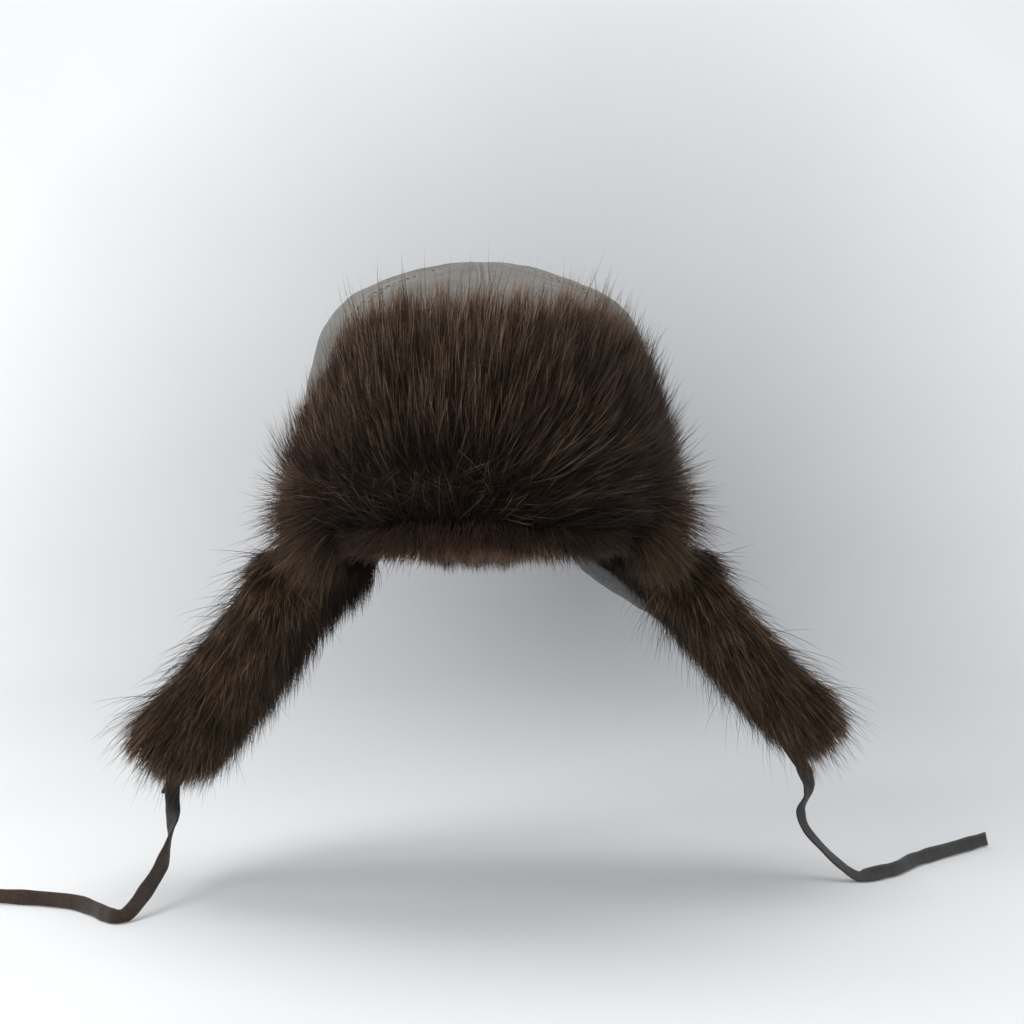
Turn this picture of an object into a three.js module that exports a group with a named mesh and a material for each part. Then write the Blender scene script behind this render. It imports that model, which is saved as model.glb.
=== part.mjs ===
// A trapper hat: a six-gore leather crown, a turned-up fur front flap, fur-lined ear flaps with leather
// ties, and a short neck flap. Millimetres, +Z up. The origin is the centre of the head opening, -Y is
// the front and +X is the wearer's left. Fur is drawn as plain closed solids of its combed size.
import * as THREE from "three";

const DEG = Math.PI / 180;

// Crown: half width, half depth and height of the leather shell over the head opening.
const HALF_WIDTH = 94;
const HALF_DEPTH = 112;
const CROWN_HEIGHT = 137;
const GORES = 6;
const GORE_ANGLE = 360 / GORES;
const GORE_COLUMNS = 5;
const CROWN_ROWS = 9;
const APEX_HOLE = 1.6;
const SEAM_GAP = 0.4;
const SEAM_DIP = 0.7;
const BROW_RISE = 9;
const BROW_ANGLE = 70;

// Layers, from the outer face of the leather inwards.
const LEATHER = 1.2;
const BATTING = [2.8, 7.4];
const LINING = [7.9, 8.9];
const LINING_ROWS = 6;
const SWEATBAND = [9.6, 11];
const SWEATBAND_HEIGHT = 30;
const LINING_TIP_THICKNESS = 1.6;

// Front flap: turned up against the crown, its layers counted outwards from the leather shell.
const FRONT_ANGLE = 64;
const FRONT_HEIGHT = 96;
const FRONT_BACKING = [1.8, 3];
const FRONT_STIFFENER = [3.6, 5.4];
const FRONT_FUR = [6.2, 21];
const FRONT_FUR_DROP = 10;
const FRONT_COLUMNS = 12;
const FRONT_TOP_TURN = 80;
const FRONT_TOP_ROUND = 0.975;
const FRONT_EDGE_THIN = 0.45;
const FRONT_ROWS = 7;

// Ear flaps: the hinge line lies just outside the crown's widest part.
const HINGE = { x: 93.5, y: 37.4, z: -3 };
const HINGE_HEADING = 16.1;
const EAR_SPLAY = { left: 41, right: 36 };
const EAR_LENGTH = 142;
const EAR_ROOT_GAP = 5;
const EAR_ROOT_HALF = 73;
const EAR_TIP_HALF = 39;
const EAR_TAPER = 92;
const EAR_TIP_ROUND = 36;
const EAR_SWEEP = 14;
const EAR_CUP = { front: 0.0028, rear: 0.0046 };
const EAR_TWIST = 9;
const EAR_BOW = 6;
const EAR_LEATHER = [0.5, 1.9];
const EAR_PADDING = [2.8, 5.6];
const EAR_FUR = [6.6, 25];
const EAR_FUR_WRAP = 10;
const EAR_LEATHER_FRONT = 14;
const EAR_FUR_EDGE = 0.7;
const EAR_FACING = [6.8, 8.2];
const EAR_COLUMNS = 8;
const EAR_ROWS = 9;
const FACING_WIDTH = 12;
const FACING_INSET = 0.6;
const FACING_ROWS = { first: 0.06, last: 0.62 };
const FACING_SWELL = { first: 40, last: 150 };
const FUR_OVERHANG = 5;
const FUR_TIP_OVERHANG = 4;

// Neck flap: hangs from the back of the crown between the ear flaps.
const NECK_ANGLE = 25;
const NECK_LENGTH = 23;
const NECK_ROOT_GAP = 5;
const NECK_MARGIN_TURN = 0.6;
const NECK_TAPER = 0.12;
const NECK_ROUND = 0.25;
const NECK_LEATHER = [-0.6, 0.8];
const NECK_PADDING = [1.2, 3.7];
const NECK_FUR = [4.1, 15];

// Ties: leather strips, drawn as plain tubes of the strip's section area.
const TIE_RADIUS = 2;
const TIE_SIDES = 8;
const TIE_STEP = 9;
const TAB = { width: 9, height: 8, thickness: 2.4, depth: 25 };

// Routes of the two ties, from the tab on the flap's tip to the free end.
const TIE_ROUTES = {
  left: [
    [182, 48.5, -144], [184, 48, -149], [185.5, 46.5, -154.5], [184, 44.5, -161], [180.5, 43, -168.5],
    [183, 40, -178], [192, 35, -188.5], [203, 27, -198], [213, 24, -202.5], [225, 30, -200.5],
    [235, 38, -202.5], [246, 54, -200.5], [257, 65, -202.5], [277, 83, -202.5], [302, 106, -202.5],
  ],
  right: [
    [-170, 45, -151], [-170, 41.5, -155.5], [-169, 34, -161], [-168, 23, -166],
    [-168.5, 9, -174], [-171, -9, -183], [-177, -26, -191.5], [-184, -42, -199], [-191, -48, -202.5],
    [-198, -42, -201.5], [-206, -30, -202], [-216, -19, -202.5], [-228, -13, -202.5],
    [-243, -8, -202.5], [-260, -4, -202.5],
  ],
};

const COLOUR = {
  leather: "#55544f",
  fur: "#3a2a20",
  padding: "#b9b2a4",
  lining: "#2a2624",
  suede: "#4a3528",
};

// Crown profile from rim to apex: radius on the half width, and height.
const PROFILE = new THREE.SplineCurve([
  new THREE.Vector2(92, 0),
  new THREE.Vector2(93.5, 20),
  new THREE.Vector2(HALF_WIDTH, 45),
  new THREE.Vector2(92, 67),
  new THREE.Vector2(88, 86),
  new THREE.Vector2(82.5, 101),
  new THREE.Vector2(73, 113),
  new THREE.Vector2(60, 122.5),
  new THREE.Vector2(36, 130.5),
  new THREE.Vector2(9, 136.6),
  new THREE.Vector2(0, CROWN_HEIGHT),
]);
const PROFILE_LENGTH = PROFILE.getLength();
const APEX = PROFILE_LENGTH - APEX_HOLE;

const smooth = (low, high, x) => THREE.MathUtils.smoothstep(x, low, high);
const lerp = THREE.MathUtils.lerp;

function material(colour, roughness) {
  return new THREE.MeshStandardMaterial({ color: colour, roughness, metalness: 0 });
}

function named(name, geometry, colour, roughness = 0.8) {
  const mesh = new THREE.Mesh(geometry, material(colour, roughness));
  mesh.name = name;
  return mesh;
}

// A closed slab between two surfaces. place(u, v, inner) gives a point of the outer or inner surface,
// with u across and v along, both from 0 to 1. A round slab joins its last column to its first.
function slab(columns, rows, place, round = false) {
  const wide = round ? columns : columns + 1;
  const positions = [];
  for (const inner of [false, true]) {
    for (let j = 0; j <= rows; j++) {
      for (let i = 0; i < wide; i++) {
        positions.push(...place(i / columns, j / rows, inner).toArray());
      }
    }
  }
  const at = (i, j, inner) => (inner ? wide * (rows + 1) : 0) + j * wide + (i % wide);
  const index = [];
  const quad = (a, b, c, d) => index.push(a, b, c, a, c, d);
  for (let j = 0; j < rows; j++) {
    for (let i = 0; i < columns; i++) {
      quad(at(i, j, false), at(i + 1, j, false), at(i + 1, j + 1, false), at(i, j + 1, false));
      quad(at(i, j, true), at(i, j + 1, true), at(i + 1, j + 1, true), at(i + 1, j, true));
    }
  }
  for (let i = 0; i < columns; i++) {
    quad(at(i, 0, true), at(i + 1, 0, true), at(i + 1, 0, false), at(i, 0, false));
    quad(at(i, rows, false), at(i + 1, rows, false), at(i + 1, rows, true), at(i, rows, true));
  }
  for (let j = 0; j < rows && !round; j++) {
    quad(at(0, j, false), at(0, j + 1, false), at(0, j + 1, true), at(0, j, true));
    quad(at(columns, j, true), at(columns, j + 1, true), at(columns, j + 1, false), at(columns, j, false));
  }
  const geometry = new THREE.BufferGeometry();
  geometry.setAttribute("position", new THREE.Float32BufferAttribute(positions, 3));
  geometry.setIndex(index);
  geometry.computeVertexNormals();
  return geometry;
}

// A point of the crown: azimuth in degrees from the front towards +X, s along the profile from the rim,
// and the depth under the leather's outer face.
function crownPoint(azimuth, s, depth = 0) {
  const t = THREE.MathUtils.clamp(s / PROFILE_LENGTH, 0, 1);
  const spot = PROFILE.getPointAt(t);
  const slope = s < 0 ? new THREE.Vector2(0, 1) : PROFILE.getTangentAt(t);
  const sin = Math.sin(azimuth * DEG);
  const cos = Math.cos(azimuth * DEG);
  const stretch = HALF_DEPTH / HALF_WIDTH;
  const around = new THREE.Vector3(spot.x * cos, spot.x * stretch * sin, 0);
  const upwards = new THREE.Vector3(slope.x * sin, -slope.x * stretch * cos, slope.y);
  const normal = around.cross(upwards).normalize();
  const point = new THREE.Vector3(spot.x * sin, -spot.x * stretch * cos, spot.y + Math.min(s, 0));
  return point.addScaledVector(normal, -depth);
}

// Height of the crown's lower edge: it arches up over the brow.
function rimHeight(azimuth) {
  const folded = Math.abs(THREE.MathUtils.euclideanModulo(azimuth + 180, 360) - 180);
  if (folded > BROW_ANGLE) return 0;
  return BROW_RISE * Math.cos((folded / BROW_ANGLE) * 90 * DEG) ** 2;
}

// Distance along the profile of one of the crown's rows. Every layer uses the same rows, so that they
// stay apart; the inner layers' lowest row is raised a little over the rim.
function crownRow(azimuth, row, raised = 0) {
  const start = rimHeight(azimuth);
  return row === 0 ? start + raised : lerp(start, APEX, row / CROWN_ROWS);
}

function gore(index) {
  const middle = (index + 0.5) * GORE_ANGLE;
  return slab(GORE_COLUMNS, CROWN_ROWS, (u, v, inner) => {
    const across = 2 * u - 1;
    const s = crownRow(middle + across * 0.5 * GORE_ANGLE, Math.round(v * CROWN_ROWS));
    const radius = Math.max(PROFILE.getPointAt(s / PROFILE_LENGTH).x, APEX_HOLE);
    const half = 0.5 * GORE_ANGLE - SEAM_GAP / 2 / radius / DEG;
    const dip = SEAM_DIP * Math.abs(across) ** 6 * smooth(0, 12, radius);
    return crownPoint(middle + across * half, s, dip + (inner ? LEATHER : 0));
  });
}

// A one-piece layer all round inside the crown, up to one of its rows.
function innerLayer([outerDepth, innerDepth], rows) {
  const columns = GORES * GORE_COLUMNS;
  return slab(columns, rows, (u, v, inner) => {
    const azimuth = u * 360;
    const s = crownRow(azimuth, Math.round(v * rows), 1);
    return crownPoint(azimuth, s, inner ? innerDepth : outerDepth);
  }, true);
}

function sweatband() {
  return slab(GORES * GORE_COLUMNS, 2, (u, v, inner) => {
    const azimuth = u * 360;
    return crownPoint(azimuth, rimHeight(azimuth) + 1 + v * SWEATBAND_HEIGHT, SWEATBAND[inner ? 1 : 0]);
  }, true);
}

// The oval top of the lining lies flat just over the lining band's upper edge.
function liningTip() {
  const band = crownPoint(90, crownRow(90, LINING_ROWS), LINING[0]);
  const edge = band.x - 7;
  const outline = new THREE.Shape();
  outline.absellipse(0, 0, edge, edge * HALF_DEPTH / HALF_WIDTH, 0, 2 * Math.PI);
  const geometry = new THREE.ExtrudeGeometry(outline, {
    depth: LINING_TIP_THICKNESS,
    bevelEnabled: false,
    curveSegments: 16,
  });
  return geometry.translate(0, 0, band.z + 0.6);
}

// The front flap's outline is nearly as wide as its root for most of its height, with a round top.
function frontLayer([near, far], margin, drop) {
  return slab(FRONT_COLUMNS, FRONT_ROWS, (u, v, inner) => {
    const across = 2 * u - 1;
    const climb = Math.sin(v * FRONT_TOP_TURN * DEG) / Math.sin(FRONT_TOP_TURN * DEG);
    const height = FRONT_HEIGHT - margin;
    const width = (FRONT_ANGLE - margin) * Math.sqrt(1 - (FRONT_TOP_ROUND * climb) ** 4);
    const azimuth = across * width;
    const s = lerp(rimHeight(azimuth) - drop, height, climb);
    const edge = Math.abs(across) ** 4;
    const thin = 1 - FRONT_EDGE_THIN * Math.max(edge, smooth(0.75, 1, v));
    return crownPoint(azimuth, s, inner ? -near : -lerp(near, far, thin));
  });
}

// A row of the ear flap: distance from the root, half width, how far its middle is swept forwards, and
// how much its edges' margins shrink at the round tip.
function earRow(v) {
  const s = EAR_LENGTH * (1 - (1 - v) ** 1.4);
  const round = Math.max(0, s - (EAR_LENGTH - EAR_TIP_ROUND)) / EAR_TIP_ROUND;
  const taper = lerp(EAR_ROOT_HALF, EAR_TIP_HALF, smooth(0, EAR_TAPER, s));
  const half = taper * Math.sqrt(1 - (0.98 * round) ** 2);
  const middle = -EAR_SWEEP * smooth(0, EAR_TAPER, s);
  return { s, half, middle, squeeze: Math.min(1, half / EAR_TIP_HALF) };
}

// A point of the hanging ear flap in its hinge frame: x outwards, y from front to rear, z up. The flap
// is cupped round the head, bows inwards, and turns its front edge outwards towards the tip.
function earPoint(y, s, depth) {
  const cup = (y < 0 ? EAR_CUP.front : EAR_CUP.rear) * y * y;
  const turn = Math.tan(EAR_TWIST * DEG * (s / EAR_LENGTH)) * (y + EAR_SWEEP);
  const bow = 4 * EAR_BOW * (s / EAR_LENGTH) * (1 - s / EAR_LENGTH);
  return new THREE.Vector3(-depth - cup - turn - bow, y, -EAR_ROOT_GAP - s);
}

// A layer of the ear flap, which stops short of the flap's outline by the given margins.
function earLayer([near, far], { front, rear, tip }) {
  return slab(EAR_COLUMNS, EAR_ROWS, (u, v, inner) => {
    const { s, half, middle, squeeze } = earRow(v);
    const y = lerp(middle + half - rear * squeeze, middle - half + front * squeeze, u);
    return earPoint(y, s * (1 - tip / EAR_LENGTH), inner ? far : near);
  });
}

// The fur covers the flap's inner face up to the facing, and its last column wraps the front edge.
function earFur() {
  const [near, far] = EAR_FUR;
  const edgeColumn = (EAR_COLUMNS - 1) / EAR_COLUMNS;
  return slab(EAR_COLUMNS, EAR_ROWS, (u, v, inner) => {
    const { s, half, middle, squeeze } = earRow(v);
    const rear = middle + half - (FACING_WIDTH + 3.5) * squeeze;
    const leatherEdge = middle - half + (EAR_LEATHER_FRONT - 1) * squeeze;
    const front = middle - half - FUR_OVERHANG * squeeze;
    const y = u === 1 ? front : lerp(rear, leatherEdge, u / edgeColumn);
    const along = s * (1 + FUR_TIP_OVERHANG / EAR_LENGTH);
    const edge = Math.max(Math.abs(2 * u - 1) ** 4, smooth(0.8, 1, v), 1 - smooth(0, 0.12, v));
    const thick = lerp(far, lerp(near, far, EAR_FUR_EDGE), edge);
    return earPoint(y, along, inner ? thick : (u === 1 ? -EAR_FUR_WRAP * squeeze : near));
  });
}

// The turned-in leather edge along the rear of the ear flap's inner face.
function earFacing() {
  return slab(2, 7, (u, v, inner) => {
    const { s, half, middle } = earRow(lerp(FACING_ROWS.first, FACING_ROWS.last, v));
    const narrow = FACING_WIDTH * Math.sin(lerp(FACING_SWELL.first, FACING_SWELL.last, v) * DEG);
    const y = middle + half - FACING_INSET - narrow * u;
    return earPoint(y, s, inner ? EAR_FACING[1] : EAR_FACING[0]);
  });
}

function tieTab() {
  const outline = new THREE.Shape();
  const half = TAB.width / 2;
  outline.moveTo(-half, 0);
  outline.lineTo(-half * 0.7, -TAB.height);
  outline.lineTo(half * 0.7, -TAB.height);
  outline.lineTo(half, 0);
  outline.closePath();
  const geometry = new THREE.ExtrudeGeometry(outline, { depth: TAB.thickness, bevelEnabled: false });
  geometry.rotateX(90 * DEG).rotateZ(90 * DEG);
  geometry.translate(-TAB.depth - TAB.thickness / 2, -EAR_SWEEP, -EAR_ROOT_GAP - EAR_LENGTH - FUR_OVERHANG);
  return geometry;
}

function neckLayer([near, far], margin, columns, rows) {
  return slab(columns, rows, (u, v, inner) => {
    const across = 2 * u - 1;
    const half = NECK_ANGLE - margin * NECK_MARGIN_TURN;
    const azimuth = 180 - across * half * (1 - NECK_TAPER * v * v);
    const root = crownPoint(azimuth, 0, inner ? far : near);
    const length = NECK_LENGTH - margin;
    return new THREE.Vector3(root.x, root.y, -NECK_ROOT_GAP - v * length * (1 - NECK_ROUND * across ** 4));
  });
}

function tie(route) {
  const curve = new THREE.CatmullRomCurve3(route.map((p) => new THREE.Vector3(...p)));
  const section = new THREE.Shape();
  for (let i = 0; i < TIE_SIDES; i++) {
    const angle = (i * 2 * Math.PI) / TIE_SIDES;
    const x = TIE_RADIUS * Math.cos(angle);
    const y = TIE_RADIUS * Math.sin(angle);
    if (i === 0) section.moveTo(x, y);
    else section.lineTo(x, y);
  }
  section.closePath();
  const steps = Math.round(curve.getLength() / TIE_STEP);
  return new THREE.ExtrudeGeometry(section, { steps, extrudePath: curve, bevelEnabled: false });
}

function crown() {
  const group = new THREE.Group();
  const places = ["front_left", "left", "back_left", "back_right", "right", "front_right"];
  places.forEach((place, i) => {
    group.add(named(`gore_${place}`, gore(i), COLOUR.leather, 0.6));
  });
  group.add(
    named("crown_batting", innerLayer(BATTING, CROWN_ROWS), COLOUR.padding, 1),
    named("lining_band", innerLayer(LINING, LINING_ROWS), COLOUR.lining, 0.45),
    named("lining_tip", liningTip(), COLOUR.lining, 0.45),
    named("sweatband", sweatband(), COLOUR.suede, 0.7),
    named("front_flap_backing", frontLayer(FRONT_BACKING, 2, 0), COLOUR.leather, 0.6),
    named("front_flap_stiffener", frontLayer(FRONT_STIFFENER, 4, -1), COLOUR.padding, 1),
    named("front_flap_fur", frontLayer(FRONT_FUR, 0, FRONT_FUR_DROP), COLOUR.fur, 1),
  );
  return group;
}

function earFlap(side) {
  const leather = { front: EAR_LEATHER_FRONT, rear: 0, tip: 0 };
  const padding = { front: EAR_LEATHER_FRONT + 4, rear: 4, tip: 4 };
  const flap = new THREE.Group();
  flap.add(
    named(`ear_flap_leather_${side}`, earLayer(EAR_LEATHER, leather), COLOUR.leather, 0.6),
    named(`ear_flap_padding_${side}`, earLayer(EAR_PADDING, padding), COLOUR.padding, 1),
    named(`ear_flap_fur_${side}`, earFur(), COLOUR.fur, 1),
    named(`ear_flap_facing_${side}`, earFacing(), COLOUR.leather, 0.6),
    named(`tie_tab_${side}`, tieTab(), COLOUR.suede, 0.8),
  );
  flap.rotation.y = -EAR_SPLAY[side] * DEG;
  const heading = new THREE.Group();
  heading.position.set(HINGE.x, HINGE.y, HINGE.z);
  heading.rotation.z = HINGE_HEADING * DEG;
  heading.add(flap);
  const mirrored = new THREE.Group();
  mirrored.scale.x = side === "left" ? 1 : -1;
  mirrored.add(heading);
  return mirrored;
}

function neckFlap() {
  const group = new THREE.Group();
  group.add(
    named("neck_flap_leather", neckLayer(NECK_LEATHER, 0, 6, 2), COLOUR.leather, 0.6),
    named("neck_flap_padding", neckLayer(NECK_PADDING, 3, 6, 2), COLOUR.padding, 1),
    named("neck_flap_fur", neckLayer(NECK_FUR, -2, 6, 3), COLOUR.fur, 1),
  );
  return group;
}

const hat = new THREE.Group();
hat.add(crown(), neckFlap());
for (const side of ["left", "right"]) {
  hat.add(earFlap(side));
  hat.add(named(`tie_${side}`, tie(TIE_ROUTES[side]), COLOUR.leather, 0.7));
}

export default hat;
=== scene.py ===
# Looks of a leather and fur trapper hat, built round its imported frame.
# Shapes are worked out in millimetres, in the frame of the part, and become metres in make_object.
import math

import bmesh
import bpy
import numpy as np
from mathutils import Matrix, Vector


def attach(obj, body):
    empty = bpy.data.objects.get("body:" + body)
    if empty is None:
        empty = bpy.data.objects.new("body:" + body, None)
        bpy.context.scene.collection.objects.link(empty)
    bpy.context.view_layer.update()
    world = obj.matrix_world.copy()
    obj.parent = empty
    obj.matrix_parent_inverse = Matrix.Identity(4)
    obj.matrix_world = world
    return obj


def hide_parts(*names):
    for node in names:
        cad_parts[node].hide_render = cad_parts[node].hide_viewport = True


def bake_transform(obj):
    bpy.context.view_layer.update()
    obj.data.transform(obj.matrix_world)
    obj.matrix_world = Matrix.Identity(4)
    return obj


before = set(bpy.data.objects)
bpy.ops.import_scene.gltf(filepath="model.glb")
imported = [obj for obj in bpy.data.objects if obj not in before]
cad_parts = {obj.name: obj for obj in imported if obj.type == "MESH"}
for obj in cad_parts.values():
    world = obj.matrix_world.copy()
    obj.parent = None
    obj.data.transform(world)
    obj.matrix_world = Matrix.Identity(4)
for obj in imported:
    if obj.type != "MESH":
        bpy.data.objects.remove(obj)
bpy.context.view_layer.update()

MM = 0.001
SIDES = ("left", "right")
SIGN = {"left": 1, "right": -1}
DOWN = np.array([0, 0, -1.0])

# Crown.
HALF_WIDTH, HALF_DEPTH = 94, 112
STRETCH = HALF_DEPTH / HALF_WIDTH
OVAL_RADIUS = 1.09  # the oval's mean radius, as a multiple of its half width
DEGREE = 1.7  # about how far one degree round the crown reaches, for noise
TUFT_DEGREE = 1.75  # the same on the front flap's hide
GORE_ANGLE = 60
GORE_PLACES = ("front_left", "left", "back_left", "back_right", "right", "front_right")
BROW_RISE, BROW_ANGLE = 9, 70
PROFILE = [(92, 0), (93.5, 20), (94, 45), (92, 67), (88, 86), (82.5, 101), (73, 113), (60, 122.5),
           (36, 130.5), (9, 136.6), (0, 137)]
LEATHER = 1.2
RIPPLE_LENGTH, QUILT = 6.2, 30
STITCH_GAP, STITCH_STEP = 3.4, 4.1  # from the seam, and from stitch to stitch

# Front flap.
FRONT_ANGLE, FRONT_HEIGHT = 64, 96
FRONT_HIDE = 6.4
FOLD_RADIUS, FOLD_TURN = 4, 165
FOLD_SHARE = 0.12  # how far the hide rolls under the fold, as a share of its height

# Ear flaps.
HINGE = (93.5, 37.4, -3)
HINGE_HEADING = math.radians(16.1)
EAR_SPLAY = {"left": 41, "right": 36}
EAR_LENGTH, EAR_ROOT_GAP = 142, 5
EAR_ROOT_HALF, EAR_TIP_HALF = 73, 39
EAR_TAPER, EAR_TIP_ROUND, EAR_SWEEP = 92, 36, 14
EAR_CUP = {"front": 0.0028, "rear": 0.0046}
EAR_TWIST, EAR_BOW = math.radians(9), 6
EAR_HIDE = 7
EAR_LEATHER_FRONT = 14
FACING_WIDTH = 12

# Neck flap.
NECK_ANGLE, NECK_LENGTH = 25, 28
NECK_DEGREE = 1.9

# Ties: the strip's width and thickness, and its routes from the tab to the free end.
TIE_WIDTH, TIE_THICKNESS = 8, 1.6
TIE_SPANS, TIE_STEP = 8, 1.6
TIE_ROUTES = {
    "left": [(182, 48.5, -144), (184, 48, -149), (185.5, 46.5, -154.5), (184, 44.5, -161),
             (180.5, 43, -168.5), (183, 40, -178), (192, 35, -188.5), (203, 27, -198), (213, 24, -202.5),
             (225, 30, -200.5), (235, 38, -202.5), (246, 54, -200.5), (257, 65, -202.5),
             (277, 83, -202.5), (302, 106, -202.5)],
    "right": [(-170, 45, -151), (-170, 41.5, -155.5), (-169, 34, -161), (-168, 23, -166),
              (-168.5, 9, -174), (-171, -9, -183), (-177, -26, -191.5), (-184, -42, -199),
              (-191, -48, -202.5), (-198, -42, -201.5), (-206, -30, -202), (-216, -19, -202.5),
              (-228, -13, -202.5), (-243, -8, -202.5), (-260, -4, -202.5)],
}
# The way the strip's width points at each of the route's points, so that it twists as it falls.
TIE_WIDTHS = {
    "left": [(1, 0.1, 0), (1, 0.2, 0), (0.9, 0.5, 0), (0.5, 0.9, 0), (0.7, 0.7, 0.1), (0.5, 0.8, 0.2),
             (0.35, 0.9, 0.1), (0.2, 0.9, 0.3), (0, 0.8, 0.6), (-0.3, 0.4, 0.8), (-0.3, 0.3, 0.9),
             (-0.3, 0.4, 0.8), (-0.3, 0.3, 0.9), (-0.2, 0.3, 0.9), (-0.2, 0.2, 1)],
    "right": [(1, 0.2, 0), (1, 0.3, 0), (0.9, 0.2, 0.1), (0.7, -0.1, 0.4), (0.05, -0.45, 0.85),
              (-0.6, 0, 0.7), (-0.75, 0, 0.66), (-0.6, 0, 0.7), (-0.1, 0.3, 0.9), (0.1, 0.4, 0.9),
              (0.1, 0.4, 0.9), (0.1, 0.3, 0.9), (0, 0.3, 0.9), (0, 0.25, 1), (0, 0.2, 1)],
}

FLOOR_Z, FLOOR_GAP = -0.2046, 0.3  # metres, and the ties' gap above it in millimetres


# ---- numbers and curves

def unit(v):
    return v / np.maximum(np.linalg.norm(v, axis=-1, keepdims=True), 1e-9)


def smooth(low, high, x):
    t = np.clip((x - low) / (high - low), 0, 1)
    return t * t * (3 - 2 * t)


def lerp(a, b, t):
    return a + (b - a) * t


def vec(*parts):
    return np.stack(np.broadcast_arrays(*parts), axis=-1).astype(float)


def waves(seed, length, x, y):
    """Smooth noise from about -1 to 1 over x and y, whose features are about length across."""
    draw = np.random.default_rng(seed)
    total = 0
    for _ in range(7):
        angle, phase = draw.uniform(0, 2 * math.pi, 2)
        turns = draw.uniform(0.6, 1.7) / length
        total = total + np.sin(2 * math.pi * turns * (x * math.cos(angle) + y * math.sin(angle)) + phase)
    return total / 3.2


def catmull_rom(points, per_span):
    p = np.asarray(points, float)
    p = np.vstack([p[:1], p, p[-1:]])
    t = np.linspace(0, 1, per_span, endpoint=False)[:, None]
    spans = []
    for a, b, c, d in zip(p, p[1:], p[2:], p[3:]):
        v0, v1 = (c - a) / 2, (d - b) / 2
        spans.append((2 * b - 2 * c + v0 + v1) * t**3 + (3 * c - 3 * b - 2 * v0 - v1) * t**2 + v0 * t + b)
    return np.vstack(spans + [p[-1:]])


def distances(line):
    return np.concatenate([[0], np.cumsum(np.linalg.norm(np.diff(line, axis=0), axis=1))])


LINE = catmull_rom(PROFILE, 24)
LINE_S = distances(LINE)
LINE_SLOPE = unit(np.gradient(LINE, LINE_S, axis=0))
PROFILE_LENGTH = LINE_S[-1]


# ---- surfaces of the hat

def crown_frame(azimuth, s):
    """Point on the crown's leather, its outward normal, the way round towards +X and the way up.
    azimuth is in degrees from the front, s is the distance up the profile from the rim."""
    azimuth, s = np.broadcast_arrays(np.asarray(azimuth, float), np.asarray(s, float))
    inside = np.clip(s, 0, PROFILE_LENGTH)
    radius = np.interp(inside, LINE_S, LINE[:, 0])
    height = np.interp(inside, LINE_S, LINE[:, 1]) + np.minimum(s, 0)
    lean = np.where(s < 0, 0, np.interp(inside, LINE_S, LINE_SLOPE[:, 0]))
    rise = np.where(s < 0, 1, np.interp(inside, LINE_S, LINE_SLOPE[:, 1]))
    sin, cos = np.sin(np.radians(azimuth)), np.cos(np.radians(azimuth))
    point = vec(radius * sin, -radius * STRETCH * cos, height)
    around = unit(vec(np.maximum(radius, 0.1) * cos, np.maximum(radius, 0.1) * STRETCH * sin, 0))
    up = unit(vec(lean * sin, -lean * STRETCH * cos, rise))
    return point, unit(np.cross(around, up)), around, up


def rim_height(azimuth):
    """Height of the crown's lower edge, which arches up over the brow."""
    folded = np.abs((np.asarray(azimuth, float) + 180) % 360 - 180)
    return np.where(folded > BROW_ANGLE, 0, BROW_RISE * np.cos(folded / BROW_ANGLE * math.pi / 2) ** 2)


def ear_row(s):
    """Half width of the ear flap at a distance from its root, how far its middle is swept forwards, and
    how much its margins shrink towards the round tip."""
    round_part = np.clip(s - (EAR_LENGTH - EAR_TIP_ROUND), 0, EAR_TIP_ROUND) / EAR_TIP_ROUND
    taper = lerp(EAR_ROOT_HALF, EAR_TIP_HALF, smooth(0, EAR_TAPER, s))
    half = taper * np.sqrt(1 - (0.98 * round_part) ** 2)
    return half, -EAR_SWEEP * smooth(0, EAR_TAPER, s), np.minimum(1, half / EAR_TIP_HALF)


def ear_point(side, y, s, depth):
    """A point of the ear flap: y from its middle to the rear, s from the root, depth towards the head."""
    y, s, depth = np.broadcast_arrays(*(np.asarray(v, float) for v in (y, s, depth)))
    cup = np.where(y < 0, EAR_CUP["front"], EAR_CUP["rear"]) * y * y
    turn = np.tan(EAR_TWIST * s / EAR_LENGTH) * (y + EAR_SWEEP)
    bow = 4 * EAR_BOW * (s / EAR_LENGTH) * (1 - s / EAR_LENGTH)
    across, z = -depth - cup - turn - bow, -EAR_ROOT_GAP - s
    splay = math.radians(EAR_SPLAY[side])
    across, z = across * math.cos(splay) - z * math.sin(splay), across * math.sin(splay) + z * math.cos(splay)
    cos, sin = math.cos(HINGE_HEADING), math.sin(HINGE_HEADING)
    x = HINGE[0] + across * cos - y * sin
    return vec(SIGN[side] * x, HINGE[1] + across * sin + y * cos, HINGE[2] + z)


def ear_frame(side, y, s):
    """Ways towards the head, towards the tip and towards the rear at a place on the ear flap."""
    tipward = unit(ear_point(side, y, s + 0.5, 0) - ear_point(side, y, s - 0.5, 0))
    rearward = unit(ear_point(side, y + 0.5, s, 0) - ear_point(side, y - 0.5, s, 0))
    inward = unit(np.cross(rearward, tipward)) * SIGN[side]
    return inward, tipward, rearward


# ---- meshes

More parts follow.
